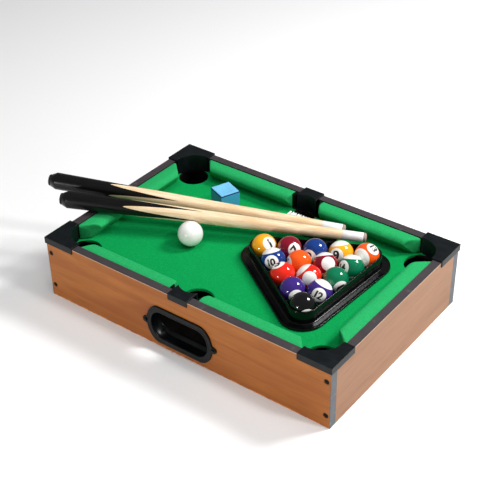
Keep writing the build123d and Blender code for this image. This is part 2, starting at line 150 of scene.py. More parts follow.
class Value:
    """A shader socket that takes part in Python arithmetic."""

    def __init__(self, surface, socket):
        self.surface = surface
        self.socket = socket

    def __add__(self, other):
        return self.surface.math("ADD", self, other)

    def __sub__(self, other):
        return self.surface.math("SUBTRACT", self, other)

    def __rsub__(self, other):
        return self.surface.math("SUBTRACT", other, self)

    def __mul__(self, other):
        return self.surface.math("MULTIPLY", self, other)

    def __truediv__(self, other):
        return self.surface.math("DIVIDE", self, other)

    __radd__ = __add__
    __rmul__ = __mul__


class Surface:
    """A material under construction. Constants go straight on the shader's sockets."""

    def __init__(self, name, **constants):
        self.material = bpy.data.materials.new(name)
        self.material.use_nodes = True
        self.tree = self.material.node_tree
        self.shader = next(n for n in self.tree.nodes if n.type == "BSDF_PRINCIPLED")
        for socket, value in constants.items():
            self.shader.inputs[socket.replace("_", " ")].default_value = value

    def node(self, kind, settings=None, inputs=None, output=0):
        """Add any node: its settings first, then the values or links of its sockets."""
        made = self.tree.nodes.new(kind)
        for key, value in (settings or {}).items():
            setattr(made, key, value)
        for key, value in (inputs or {}).items():
            if isinstance(value, Value):
                self.tree.links.new(value.socket, made.inputs[key])
            else:
                made.inputs[key].default_value = value
        return Value(self, made.outputs[output])

    def math(self, operation, a, b=0.0):
        return self.node("ShaderNodeMath", {"operation": operation}, {0: a, 1: b})

    def vector(self, operation, a, b=(0, 0, 0), output="Vector"):
        return self.node("ShaderNodeVectorMath", {"operation": operation}, {0: a, 1: b}, output)

    def place(self, offset=(0, 0, 0), turn=(0, 0, 0), stretch=(1, 1, 1)):
        """Object coordinates, centred on a point, turned and stretched."""
        coordinates = self.node("ShaderNodeTexCoord", output="Object")
        centred = self.vector("SUBTRACT", coordinates, tuple(offset))
        settings = {"vector_type": "POINT"}
        return self.node("ShaderNodeMapping", settings,
                         {"Vector": centred, "Rotation": tuple(turn), "Scale": tuple(stretch)})

    def split(self, vector):
        return [self.node("ShaderNodeSeparateXYZ", None, {0: vector}, axis) for axis in "XYZ"]

    def noise(self, place, scale, detail=3.0, roughness=0.5, distortion=0.0):
        return self.node("ShaderNodeTexNoise", None, {
            "Vector": place, "Scale": scale, "Detail": detail,
            "Roughness": roughness, "Distortion": distortion}, "Fac")

    def specks(self, place, scale):
        """Distance to the nearest of many scattered points, 0 at each point."""
        return self.node("ShaderNodeTexVoronoi", None, {"Vector": place, "Scale": scale}, "Distance")

    def step(self, value, low, high):
        """A smooth rise from 0 at low to 1 at high."""
        return self.node("ShaderNodeMapRange", {"interpolation_type": "SMOOTHSTEP"},
                         {"Value": value, "From Min": low, "From Max": high})

    def mix(self, factor, a, b):
        """A colour between a and b."""
        settings = {"data_type": "RGBA", "clamp_factor": True}
        a, b = [c if isinstance(c, Value) else (*c, 1.0) for c in (a, b)]
        return self.node("ShaderNodeMix", settings, {0: factor, 6: a, 7: b}, 2)

    def bump(self, height, distance, strength=1.0, under=None):
        """A bumped normal, on top of another one if given."""
        inputs = {"Height": height, "Distance": distance, "Strength": strength}
        if under:
            inputs["Normal"] = under
        return self.node("ShaderNodeBump", None, inputs)

    def finish(self, colour, roughness=None, normal=None):
        """Join what varies to the shader and hand back the material."""
        for name, value in (("Base Color", colour), ("Roughness", roughness), ("Normal", normal)):
            if value is not None:
                self.tree.links.new(value.socket, self.shader.inputs[name])
        return self.material


# =====================================================================
# Materials
# =====================================================================

def green_cloth(name, bright, deep, nap=1.0):
    """Napped felt: tangled fibres, patches where the nap lies over, lint, and black by each pocket: partly
    the black pocket liners, partly painted shade under the pocket caps.
    """
    s = Surface(name, Sheen_Weight=0.08, Sheen_Roughness=0.45, Sheen_Tint=(0.05, 0.9, 0.45, 1),
                Specular_IOR_Level=0.04)
    place = s.place()
    fibre = s.noise(place, 2600, 4, 0.65)
    tangle = s.noise(s.place(stretch=(1, 1.7, 1)), 900, 3, 0.6, 1.5)
    patches = s.noise(place, 60, 3, 0.55)
    base = s.mix(s.step(fibre * 0.55 + tangle * 0.45, 0.36, 0.64), deep, bright)
    shaded = s.mix(s.step(patches, 0.35, 0.7) * 0.35, base, tuple(c * 0.72 for c in bright))
    lint = 1 - s.step(s.specks(place, 330), 0.03, 0.075)
    colour = s.mix(lint * 0.35, shaded, (0.10, 0.52, 0.22))
    east, north = [s.math("ABSOLUTE", axis) for axis in s.split(s.place())[:2]]
    # Black by the pockets: the pocket liners' own black, plus painted shade under the caps.
    beside_middle = 1 - s.step(east, LINER_SHADE_X, LINER_SHADE_X + LINER_SHADE_EDGE)
    middle_liner_shade = s.step(north, LINER_SHADE_Y, LINER_SHADE_Y + LINER_SHADE_EDGE) * beside_middle
    corner_liner_shade = s.step(east + north, LINER_SHADE_CORNER, LINER_SHADE_CORNER + LINER_SHADE_EDGE)
    lined = s.mix(s.math("MAXIMUM", middle_liner_shade, corner_liner_shade), colour, (0.003, 0.004, 0.004))
    height = fibre * 0.6 + tangle * 0.4
    normal = s.bump(height, 0.00022 * nap, 0.55)
    return s.finish(lined, 0.82 + fibre * 0.16, normal)


def wood_foil(name, along, light, middle, dark, inner_face):
    """Printed wood-grain foil outside, near-black board inside (dark board with painted shade for the
    inside of the box): long grain, fine pores, scuffed lower edge.
    """
    s = Surface(name, Specular_IOR_Level=0.30, Coat_Weight=0.05, Coat_Roughness=0.35)
    long_axis = 0 if along == "x" else 1
    stretch = [26.0, 26.0, 26.0]
    stretch[long_axis] = 2.2
    waver = s.noise(s.place(stretch=[7 if i != long_axis else 3 for i in range(3)]), 2.0, 2)
    grain_place = s.place(stretch=stretch)
    figure = s.noise(grain_place, 3.2, 4, 0.55, 0.9)
    fine = s.noise(s.place(stretch=[c * 9 for c in stretch]), 3.0, 3, 0.6, 0.3)
    pores = s.noise(s.place(stretch=[900 if i != long_axis else 45 for i in range(3)]), 1.0, 2, 0.5)
    tone = figure * 0.62 + waver * 0.38
    warm = s.mix(s.step(tone, 0.34, 0.62), dark, middle)
    pale = s.mix(s.step(tone, 0.56, 0.76), warm, light)
    lined = s.mix(s.step(fine, 0.56, 0.74) * 0.30, pale, dark)
    pored = s.mix(s.step(pores, 0.60, 0.72) * 0.28, lined, tuple(c * 0.45 for c in dark))
    height = s.split(s.place())[2]
    scuff = (1 - s.step(height, 0.0004, 0.0016)) * s.step(s.noise(s.place(), 190, 3), 0.40, 0.60)
    scuffed = s.mix(scuff * 0.55, pored, tuple(min(1.0, c * 1.9) for c in light))
    cut_edge = s.step(height, BOARD_TOP - 0.0008, BOARD_TOP - 0.0005)
    colour = s.mix(cut_edge * 0.75, scuffed, (0.62, 0.47, 0.33))
    across = s.math("ABSOLUTE", s.split(s.place())[1 - long_axis])
    outside = s.step(across, inner_face + 0.0002, inner_face + 0.0005)
    # Inside faces: near black, partly the dark board and partly painted shade inside the box.
    covered = s.mix(outside, (0.008, 0.007, 0.006), colour)
    normal = s.bump(pores * 0.6 + fine * 0.4, 0.00005, 0.5)
    return s.finish(covered, 0.42 + pores * 0.12 + scuff * 0.2, normal)


def edge_foil(name, colour, worn):
    """Thin plain foil on an edge: faint streaks and rubbed spots."""
    s = Surface(name, Specular_IOR_Level=0.4)
    streak = s.noise(s.place(stretch=(25, 25, 25)), 3.0, 4, 0.6)
    grit = s.noise(s.place(), 1500, 3, 0.6)
    rubbed = s.step(s.noise(s.place(), 120, 3, 0.6), 0.58, 0.74) * 0.5
    toned = s.mix(s.step(streak, 0.35, 0.65) * 0.5, colour, tuple(c * 0.7 for c in colour))
    mixed = s.mix(rubbed + s.step(grit, 0.60, 0.75) * 0.15, toned, worn)
    return s.finish(mixed, 0.46 + grit * 0.14, s.bump(grit, 0.00003, 0.5))


def moulded_plastic(name, colour, rough, grain=1.0, shine=0.38):
    """Black injection-moulded plastic: fine texture, faint flow marks and handling smears."""
    s = Surface(name, Specular_IOR_Level=shine)
    texture = s.noise(s.place(), 2400, 3, 0.6)
    smear = s.noise(s.place(stretch=(1, 2.4, 1)), 70, 3, 0.55, 0.8)
    dust = s.step(s.noise(s.place(), 900, 2), 0.68, 0.80)
    paler = tuple(c * 1.7 + 0.004 for c in colour)
    mixed = s.mix(s.step(smear, 0.40, 0.70) * 0.5 + dust * 0.2, colour, paler)
    return s.finish(mixed, rough + smear * 0.14 + texture * 0.05, s.bump(texture, 0.00003 * grain, 0.4))


def fibreboard(name, colour):
    """Raw pressed board: matted wood fibre with darker shives."""
    s = Surface(name, Specular_IOR_Level=0.2)
    felted = s.noise(s.place(), 1100, 4, 0.65, 0.6)
    shives = s.step(s.noise(s.place(stretch=(4, 1, 1)), 420, 3, 0.6), 0.60, 0.72)
    toned = s.mix(s.step(felted, 0.35, 0.65), tuple(c * 0.7 for c in colour), colour)
    mixed = s.mix(shives * 0.5, toned, tuple(c * 0.4 for c in colour))
    return s.finish(mixed, 0.85 + felted * 0.1, s.bump(felted, 0.00012, 0.6))


def black_steel(name):
    """Blackened screw steel with bright rubbed rims."""
    s = Surface(name, Metallic=0.8)
    wear = s.step(s.noise(s.place(), 1300, 3, 0.6), 0.55, 0.72)
    mixed = s.mix(wear * 0.5, (0.012, 0.012, 0.013), (0.10, 0.10, 0.10))
    return s.finish(mixed, 0.38 + wear * 0.2, s.bump(wear, 0.00002, 0.5))


def direction(turn, tilt):
    """A unit vector from a compass turn and a tilt above level, in degrees."""
    a, b = math.radians(turn), math.radians(tilt)
    return Vector((math.cos(b) * math.cos(a), math.cos(b) * math.sin(a), math.sin(b)))


def resin_ball(name, centre, radius, colour, disc=None, stripe=None, disc_radius=0.0):
    """Polished cast-resin ball. Discs are white spots about an axis; a stripe leaves two white caps."""
    s = Surface(name, Specular_IOR_Level=0.45, Coat_Weight=0.5, Coat_Roughness=0.04)
    outward = s.vector("NORMALIZE", s.place(offset=centre))
    cloud = s.noise(s.place(offset=centre), 130, 3, 0.5, 0.6)
    haze = s.noise(s.place(offset=centre), 700, 3, 0.6)
    ivory = s.mix(cloud, (0.80, 0.79, 0.74), (0.90, 0.89, 0.86))
    painted = s.mix(s.step(cloud, 0.35, 0.7) * 0.45, colour, tuple(c * 0.78 for c in colour))
    if stripe is not None:
        across = s.vector("DOT_PRODUCT", outward, tuple(stripe), "Value")
        band = math.sin(math.radians(STRIPE_HALF))
        painted = s.mix(s.step(s.math("ABSOLUTE", across), band - 0.012, band + 0.012), painted, ivory)
    if disc is not None:
        facing = s.math("ABSOLUTE", s.vector("DOT_PRODUCT", outward, tuple(disc), "Value"))
        edge = math.cos(math.asin(disc_radius / radius))
        painted = s.mix(s.step(facing, edge - 0.006, edge + 0.006), painted, ivory)
    scratches = s.step(s.noise(s.place(offset=centre, stretch=(1, 9, 3)), 260, 2, 0.5), 0.66, 0.72)
    rough = 0.10 + haze * 0.07 + scratches * 0.08
    return s.finish(painted, rough, s.bump(haze, 0.00002, 0.25))


def ink(name):
    """Black printed numerals, slightly uneven."""
    s = Surface(name, Specular_IOR_Level=0.5)
    blotch = s.noise(s.place(), 1800, 3, 0.6)
    return s.finish(s.mix(blotch, (0.006, 0.006, 0.007), (0.02, 0.02, 0.022)), 0.25 + blotch * 0.15)


def cue_paint(name, butt, turn, roll, splice_end):
    """Lacquered maple with a painted black butt that runs forward in four long points."""
    s = Surface(name, Coat_Weight=0.12, Coat_Roughness=0.12, Specular_IOR_Level=0.25)
    place = s.place(offset=butt, turn=turn)
    along, side, up = s.split(place)
    grain = s.noise(s.vector("MULTIPLY", place, (30, 420, 420)), 1.0, 4, 0.6, 0.5)
    ticks = s.noise(s.vector("MULTIPLY", place, (260, 1500, 1500)), 1.0, 2, 0.5)
    maple = s.mix(s.step(grain, 0.32, 0.68), (0.74, 0.50, 0.28), (0.90, 0.74, 0.52))
    flecked = s.mix(s.step(ticks, 0.62, 0.74) * 0.35, maple, (0.55, 0.33, 0.17))
    angle = s.math("ARCTAN2", up, side) / (2 * math.pi)
    points = s.math("PINGPONG", angle * 4 + roll, 0.5) * 2
    reach = SPLICE_START + s.math("POWER", points, 1.6) * (splice_end - SPLICE_START)
    bare = s.step(along - reach, -0.0006, 0.0006)
    streak = s.noise(s.vector("MULTIPLY", place, (40, 300, 300)), 1.0, 3, 0.6)
    black = s.mix(streak, (0.002, 0.002, 0.002), (0.009, 0.008, 0.008))
    colour = s.mix(bare, black, flecked)
    return s.finish(colour, 0.24 + grain * 0.12, s.bump(grain * 0.5 + ticks * 0.5, 0.00003, 0.4))


def white_plastic(name):
    """Turned white plastic with faint tool rings and smudges."""
    s = Surface(name, Specular_IOR_Level=0.5)
    smudge = s.noise(s.place(), 220, 3, 0.6)
    grit = s.noise(s.place(), 2200, 2)
    mixed = s.mix(s.step(smudge, 0.55, 0.75) * 0.4, (0.84, 0.85, 0.85), (0.70, 0.71, 0.73))
    return s.finish(mixed, 0.25 + smudge * 0.12, s.bump(grit, 0.00002, 0.4))


def tip_leather(name):
    """Pressed leather tip, scuffed, with chalk dust in the grain."""
    s = Surface(name, Specular_IOR_Level=0.25)
    grain = s.noise(s.place(), 1600, 4, 0.65)
    dust = s.step(s.noise(s.place(), 700, 3), 0.58, 0.72)
    mixed = s.mix(grain, (0.24, 0.16, 0.13), (0.50, 0.38, 0.32))
    dusted = s.mix(dust * 0.3, mixed, (0.35, 0.50, 0.58))
    return s.finish(dusted, 0.85 + grain * 0.1, s.bump(grain, 0.0001, 0.7))


def bumper_rubber(name):
    """Soft black rubber with a dull bloom."""
    s = Surface(name, Specular_IOR_Level=0.3)
    bloom = s.noise(s.place(), 500, 4, 0.6)
    mixed = s.mix(s.step(bloom, 0.4, 0.7), (0.010, 0.010, 0.011), (0.035, 0.035, 0.036))
    return s.finish(mixed, 0.62 + bloom * 0.2, s.bump(bloom, 0.00005, 0.5))


def chalk_cake(name):
    """Pressed blue chalk: powdery, pitted and paler where it is rubbed."""
    s = Surface(name, Specular_IOR_Level=0.1)
    powder = s.noise(s.place(), 1500, 4, 0.7)
    pits = 1 - s.step(s.specks(s.place(), 900), 0.12, 0.3)
    toned = s.mix(s.step(powder, 0.35, 0.65), (0.12, 0.42, 0.68), (0.22, 0.56, 0.80))
    # The pits are painted darker: painted shade in the pits.
    return s.finish(s.mix(pits * 0.4, toned, (0.07, 0.26, 0.46)), 0.9 + powder * 0.08,
                    s.bump(powder - pits * 0.5, 0.0002, 0.7))


def wrapper_paper(name, low, high):
    """Printed paper label: blue, a dark line round the top edge and a plain dot pattern."""
    s = Surface(name, Specular_IOR_Level=0.35)
    fibre = s.noise(s.place(), 1800, 4, 0.65)
    height = s.split(s.place())[2]
    crease = s.noise(s.place(stretch=(1, 1, 0.4)), 240, 3, 0.6, 0.4)
    toned = s.mix(s.step(fibre, 0.35, 0.65), (0.040, 0.31, 0.54), (0.080, 0.42, 0.66))
    dark_line = s.step(height, high - 0.0013, high - 0.0010)
    dots = 1 - s.step(s.specks(s.place(), 130), 0.13, 0.17)
    printed = s.mix(dots * 0.8, toned, (0.50, 0.56, 0.12))
    edged = s.mix(dark_line, printed, (0.010, 0.045, 0.16))
    worn = (1 - s.step(height, low + 0.0003, low + 0.0012)) * s.step(crease, 0.45, 0.6)
    rubbed = s.mix(worn * 0.7, edged, (0.5, 0.6, 0.68))
    normal = s.bump(fibre * 0.4 + crease * 0.6, 0.00006, 0.5)
    return s.finish(rubbed, 0.55 + fibre * 0.2, normal)


def stained_wood(name):
    """Black-stained hardwood, lacquered, with open grain."""
    s = Surface(name, Coat_Weight=0.25, Coat_Roughness=0.2, Specular_IOR_Level=0.4)
    grain = s.noise(s.place(stretch=(40, 420, 420)), 1.0, 4, 0.6, 0.5)
    mixed = s.mix(s.step(grain, 0.4, 0.7), (0.010, 0.009, 0.009), (0.045, 0.034, 0.028))
    return s.finish(mixed, 0.35 + grain * 0.2, s.bump(grain, 0.00005, 0.5))


def bristle_nylon(name):
    """White nylon bristle, slightly uneven in tone."""
    s = Surface(name, Specular_IOR_Level=0.5)
    tone = s.noise(s.place(), 900, 3)
    return s.finish(s.mix(tone, (0.74, 0.75, 0.70), (0.93, 0.94, 0.92)), 0.35 + tone * 0.2)


def studio_floor(name):
    """Seamless pale paper."""
    s = Surface(name, Specular_IOR_Level=0.1)
    tooth = s.noise(s.place(), 400, 3)
    return s.finish(s.mix(tooth, (0.90, 0.90, 0.90), (0.94, 0.94, 0.94)), 0.9 + tooth * 0.05)


def paint(red, green, blue):
    """A display colour from 0 to 255 as linear light."""
    shares = [c / 255 for c in (red, green, blue)]
    return tuple(c / 12.92 if c < 0.04 else ((c + 0.055) / 1.055) ** 2.4 for c in shares)


GREEN_BRIGHT = (0.004, 0.380, 0.096)
GREEN_DEEP = (0.003, 0.195, 0.043)
CLOTH = green_cloth("bed_felt", GREEN_BRIGHT, GREEN_DEEP)
RAIL_CLOTH = green_cloth("rail_felt", (0.030, 0.455, 0.145), (0.010, 0.250, 0.068), 0.8)
FOIL_LONG = wood_foil("foil_long", "x", paint(190, 120, 56), paint(174, 104, 40),
                      paint(150, 82, 26), INNER_Y)
# The end panels carry the same foil print as the long panels, in paler, pinker colours: painted sheen for
# the grazing light the end panels catch.
FOIL_SHORT_SHEEN = wood_foil("foil_short_sheen", "y", paint(164, 124, 92), paint(155, 113, 82),
                       paint(143, 101, 71), INNER_X)
BAND = edge_foil("edge_band", (0.048, 0.040, 0.044), (0.12, 0.10, 0.11))
END_BAND = edge_foil("end_band", (0.105, 0.118, 0.130), (0.22, 0.24, 0.25))
BLACK = moulded_plastic("cap_black", (0.0030, 0.0046, 0.0056), 0.30, 1.0, 0.26)
# The ball-return moulding: the caps' black plastic with a darker base colour, as painted shade for the
# cup's deep mouth.
CUP_BLACK_SHADED = moulded_plastic("cup_black_shaded", (0.0022, 0.0030, 0.0034), 0.24, 0.5, 0.18)
RACK_BLACK = moulded_plastic("rack_black", (0.0015, 0.0015, 0.0018), 0.10, 0.05, 0.3)
# Near-black board: dark hardboard, made darker still as painted shade for the inside of the box, which
# shows black through the pockets.
BOARD = fibreboard("dark_board", (0.012, 0.010, 0.009))
STEEL = black_steel("screw_black")
INK = ink("numeral_ink")
WHITE = white_plastic("ferrule_white")
LEATHER = tip_leather("tip_leather")
RUBBER = bumper_rubber("bumper_rubber")
PLAIN_WHITE = paint(238, 238, 232)
COLOURS = [paint(*c) for c in ((250, 170, 25), (18, 55, 125), (225, 38, 22), (58, 36, 120),
                               (250, 90, 20), (0, 112, 74), (130, 10, 36), (12, 12, 13))]


# =====================================================================
# Mesh making
# =====================================================================

def soften(mesh, angle=40.0):
    """Smooth shading, with edges sharper than an angle kept crisp."""
    mesh.polygons.foreach_set("use_smooth", [True] * len(mesh.polygons))
    mesh.set_sharp_from_angle(angle=math.radians(angle))
    return mesh


def mesh_from(name, shape, angle=40.0):
    """Turn a bmesh into a mesh whose faces all point outwards."""
    bmesh.ops.recalc_face_normals(shape, faces=shape.faces)
    mesh = bpy.data.meshes.new(name)
    shape.to_mesh(mesh)
    shape.free()
    return soften(mesh, angle)


def settled(obj):
    """Replace an object's mesh with the result of its modifiers."""
    graph = bpy.context.evaluated_depsgraph_get()
    mesh = bpy.data.meshes.new_from_object(obj.evaluated_get(graph))
    bpy.data.objects.remove(obj)
    return mesh


def eased(node, width, segments=2):
    """A CAD piece's mesh, merged and with its sharp edges rounded over."""
    shape = bmesh.new()
    shape.from_mesh(nodes[node].data)
    bmesh.ops.remove_doubles(shape, verts=shape.verts, dist=2e-6)
    bmesh.ops.dissolve_limit(shape, angle_limit=math.radians(0.6), verts=shape.verts, edges=shape.edges)
    obj = bpy.data.objects.new("eased", mesh_from("eased", shape, 30))
    bpy.context.scene.collection.objects.link(obj)
    bevel = obj.modifiers.new("bevel", "BEVEL")
    bevel.width = width
    bevel.segments = segments
    bevel.limit_method = "ANGLE"
    bevel.angle_limit = math.radians(40)
    bevel.harden_normals = True
    return settled(obj)


def piece(name, mesh, material, body, slot, *replaced):
    """A finished piece: its mesh is already in place, and it rides on one body."""
    obj = bpy.data.objects.new(name, mesh)
    bpy.context.scene.collection.objects.link(obj)
    mesh.materials.clear()
    mesh.materials.append(material)
    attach(obj, body)
    if replaced:
        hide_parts(*replaced)
    return obj


def rounded(corners, steps=4):
    """A closed outline whose corners, given as (x, y, radius), are turned into curves."""
    outline = []
    for i, (x, y, radius) in enumerate(corners):
        here = Vector((x, y))
        before = Vector(corners[i - 1][:2]) - here
        after = Vector(corners[(i + 1) % len(corners)][:2]) - here
        a = here + before.normalized() * min(radius, before.length * 0.49)
        b = here + after.normalized() * min(radius, after.length * 0.49)
        for k in range(steps + 1):
            t = k / steps
            outline.append(a * (1 - t) ** 2 + here * 2 * t * (1 - t) + b * t ** 2)
    return outline


def skin(name, rings, loop=False, angle=40.0):
    """Stretch faces over rings of points. A ring of one point closes an end."""
    shape = bmesh.new()
    made = [[shape.verts.new(point) for point in ring] for ring in rings]
    pairs = list(zip(made, made[1:]))
    if loop:
        pairs.append((made[-1], made[0]))
    for a, b in pairs:
        count = max(len(a), len(b))
        for i in range(count):
            j = (i + 1) % count
            corners = [a[i % len(a)], a[j % len(a)], b[j % len(b)], b[i % len(b)]]
            shape.faces.new(list(dict.fromkeys(corners)))
    return mesh_from(name, shape, angle)


def turned(name, profile, start, direction, sides=64, angle=40.0):
    """Revolve (distance along, radius) points about an axis. A radius of 0 closes an end."""
    first = direction.orthogonal().normalized()
    second = direction.cross(first)
    rings = []
    for distance, radius in profile:
        centre = start + direction * distance
        steps = [2 * math.pi * k / sides for k in range(sides if radius > 0 else 1)]
        rings.append([centre + (first * math.cos(a) + second * math.sin(a)) * radius for a in steps])
    return skin(name, rings, angle=angle)


def middle(node):
    """The centre of a CAD node's box."""
    low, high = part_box(node)
    return (low + high) / 2


# =====================================================================
# The table
# =====================================================================

def panels():
    """Foil-covered boards and the strips on their edges, with lightly rounded arrises."""
    for node, foil in (("front_panel", FOIL_LONG), ("rear_panel", FOIL_LONG),
                       ("left_end_panel", FOIL_SHORT_SHEEN), ("right_end_panel", FOIL_SHORT_SHEEN)):
        piece(f"{node}_board", eased(node, 0.35 * MM), foil, "table", "printed_wood_panel", node)
    for side in ("front", "rear", "left", "right"):
        node = f"top_edge_band_{side}"
        piece(f"{node}_strip", eased(node, 0.12 * MM, 1), BAND, "table", "edge_band", node)
    piece("panel_end_strips", eased("panel_end_bands", 0.12 * MM, 1), END_BAND,
          "table", "end_band", "panel_end_bands")


def hidden_boards():
    """The pieces inside the box keep their CAD shape."""
    for node in ("bottom_board", "bed_board", "bed_ledgers", "runway_left", "runway_right",
                 "runway_battens"):
        recover(node, BOARD)
    for node in ("panel_screws", "cup_screws"):
        recover(node, STEEL)


def recover(node, material):
    """Give a CAD node a new finish."""
    mesh = nodes[node].data
    mesh.materials.clear()
    mesh.materials.append(material)


def pocket_caps():
    """Moulded caps with soft edges."""
    for side in ("front", "rear"):
        for node in (f"{side}_left_corner_cap", f"{side}_middle_cap", f"{side}_right_corner_cap"):
            piece(f"{node}_moulding", eased(node, 0.55 * MM, 3), BLACK, "table", "black_plastic", node)


def bed():
    """Felt stretched over the bed board, turned down a little into each pocket."""
    shape = bmesh.new()
    shape.from_mesh(eased("bed_cloth", 0.2 * MM, 1))
    for x, y in POCKETS:
        shape.from_mesh(tuck(x, y))
    felt = piece("bed_felt", mesh_from("bed_felt", shape, 25), CLOTH, "table", "green_cloth", "bed_cloth")


def tuck(x, y):
    """Felt turned down into a pocket, trimmed short on the side away from play."""
    outward = math.atan2(math.copysign(1, y), (x > 0) - (x < 0))
    outer, inner = POCKET_RADIUS - 0.02 * MM, POCKET_RADIUS - 0.5 * MM
    top = CLOTH_TOP - 0.12 * MM
    rings = []
    for k in range(TUCK_STEPS):
        a = 2 * math.pi * k / TUCK_STEPS
        share = min(1.0, max(0.0, (TUCK_TURN - math.cos(a - outward)) / TUCK_FADE))
        low = top - TUCK_SHORT - (FELT_TUCK - TUCK_SHORT) * share
        section = rounded([(outer, top, 0.0001), (inner, top, 0.0004), (inner, low, 0.0002),
                           (outer, low, 0.0001)], 3)
        rings.append([Vector((x + r * math.cos(a), y + r * math.sin(a), z)) for r, z in section])
    return skin("tuck", rings, loop=True)


def cushion(node, seed):
    """A felt-covered cushion bar: crowned top, rounded nose, undercut face and turned-in ends."""
    low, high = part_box(node)
    size, centre = high - low, (low + high) / 2
    lengthways = 0 if size.x > size.y else 1
    across = 1 - lengthways
    depth = size[across]
    outward = 1 if centre[across] > 0 else -1
    back = high[across] if outward > 0 else low[across]
    section = rounded([
        (0.0, low.z, 0.0006), (0.0, high.z - 0.0004, 0.0010), (depth * 0.45, high.z + 0.0003, 0.004),
        (depth - NOSE_ROUND, high.z, 0.0035), (depth, NOSE_HIGH, 0.0022), (depth, NOSE_LOW, 0.0009),
        (depth - UNDERCUT, low.z, 0.0012)], 5)
    heart = Vector((depth * 0.42, (low.z + high.z) / 2))
    cut_start, cut_end = end_cuts(lengthways, high[lengthways])
    lines = []
    for point in section:
        share = point.x / depth
        first = low[lengthways] + cut_start * share
        last = high[lengthways] - cut_end * share
        line = []
        for along, shrink in stations(first, last):
            pulled = point + (heart - point).normalized() * shrink
            at = Vector((0, 0, pulled.y))
            at[lengthways] = along
            at[across] = back - outward * pulled.x
            ripple = noise.noise(Vector((at.x * 160, at.y * 160, at.z * 60 + seed)))
            at.z += ripple * RIPPLE_UP
            at[across] += ripple * RIPPLE_OUT
            line.append(at)
        lines.append(line)
    rings = [list(ring) for ring in zip(*lines)]
    closing = [[sum(ring, Vector()) / len(ring)] for ring in (rings[0], rings[-1])]
    mesh = skin(node, [closing[0], *rings, closing[1]], angle=60)
    bar = piece(f"{node}_felt", mesh, RAIL_CLOTH, "table", "green_cloth", node)


def end_cuts(lengthways, far_end):
    """How much shorter the nose is than the back at each end of a cushion."""
    if lengthways == 1:
        return END_CUT, END_CUT
    return (CORNER_CUT, MIDDLE_CUT) if far_end < 0 else (MIDDLE_CUT, CORNER_CUT)


def stations(first, last, count=48):
    """Places along a bar, each with how far its ring shrinks, so that both ends are rounded."""
    turns = [math.pi / 2 * k / 5 for k in range(6)]
    ends = [(END_ROUND * (1 - math.cos(a)), END_ROUND * (1 - math.sin(a))) for a in turns]
    near = [(first + inset, shrink) for inset, shrink in ends]
    run = last - first - 2 * END_ROUND
    between = [(first + END_ROUND + run * k / count, 0.0) for k in range(1, count)]
    far = [(last - inset, shrink) for inset, shrink in reversed(ends)]
    return near + between + far


def ball_return():
    """One moulding: flange with two ears, a rolled mouth and a flared sleeve behind it."""
    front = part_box("ball_return_cup")[0].y
    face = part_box("front_panel")[0].y
    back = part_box("ball_return_cup")[1].y
    level = middle("ball_return_cup").z
    flange, mouth, sleeve = FLANGE_HALF, MOUTH_HALF, SLEEVE_HALF
    wall = SLEEVE_WALL

    def ring(half, straight, y, ears=0.0, curb=0.0):
        return long_ring(half[0] * MM, half[1] * MM, straight * MM, y, level, ears * MM, curb * MM)

    def grown(half, by):
        return half[0] + by, half[1] + by

    rings = [
        ring(flange, FLANGE_STRAIGHT, face, EAR_RADIUS),
        ring(flange, FLANGE_STRAIGHT, front + 0.45 * MM, EAR_RADIUS),
        ring(grown(flange, -0.12), FLANGE_STRAIGHT, front + 0.15 * MM, EAR_RADIUS - 0.12),
        ring(grown(flange, -0.45), FLANGE_STRAIGHT, front + 0.02 * MM, EAR_RADIUS - 0.45),
        ring(grown(flange, -1.2), FLANGE_STRAIGHT, front + 0.05 * MM, EAR_RADIUS - 1.2),
        ring(grown(mouth, 2.2), MOUTH_STRAIGHT, front + 0.30 * MM),
        ring(grown(mouth, 1.5), MOUTH_STRAIGHT, front + 0.22 * MM),
        ring(grown(mouth, 0.9), MOUTH_STRAIGHT, front),
        ring(grown(mouth, 0.3), MOUTH_STRAIGHT, front + 0.12 * MM),
        ring(mouth, MOUTH_STRAIGHT, front + 0.55 * MM),
        ring(grown(mouth, 0.15), MOUTH_STRAIGHT, face - 0.1 * MM),
        ring(grown(mouth, 0.8), MOUTH_STRAIGHT, face + 0.5 * MM),
        ring(grown(sleeve, -0.25), MOUTH_STRAIGHT, face + 1.6 * MM),
        ring(sleeve, MOUTH_STRAIGHT, face + 2.6 * MM),
        ring(sleeve, MOUTH_STRAIGHT, back - 3.4 * MM),
        ring(sleeve, MOUTH_STRAIGHT, back - 1.6 * MM, curb=CURB * 0.85),
        ring(sleeve, MOUTH_STRAIGHT, back - 1.1 * MM, curb=CURB),
        ring(sleeve, MOUTH_STRAIGHT, back - 0.5 * MM, curb=CURB * 0.96),
        ring(grown(sleeve, 0.1), MOUTH_STRAIGHT, back - 0.1 * MM, curb=CURB * 0.8),
        ring(grown(sleeve, 0.3), MOUTH_STRAIGHT, back),
        ring(grown(sleeve, wall - 0.3), MOUTH_STRAIGHT, back),
        ring(grown(sleeve, wall), MOUTH_STRAIGHT, back - 0.3 * MM),
        ring(grown(sleeve, wall), MOUTH_STRAIGHT, face),
    ]
    piece("ball_return_moulding", skin("ball_return", rings, loop=True, angle=50), CUP_BLACK_SHADED,
          "table", "black_plastic", "ball_return_cup")


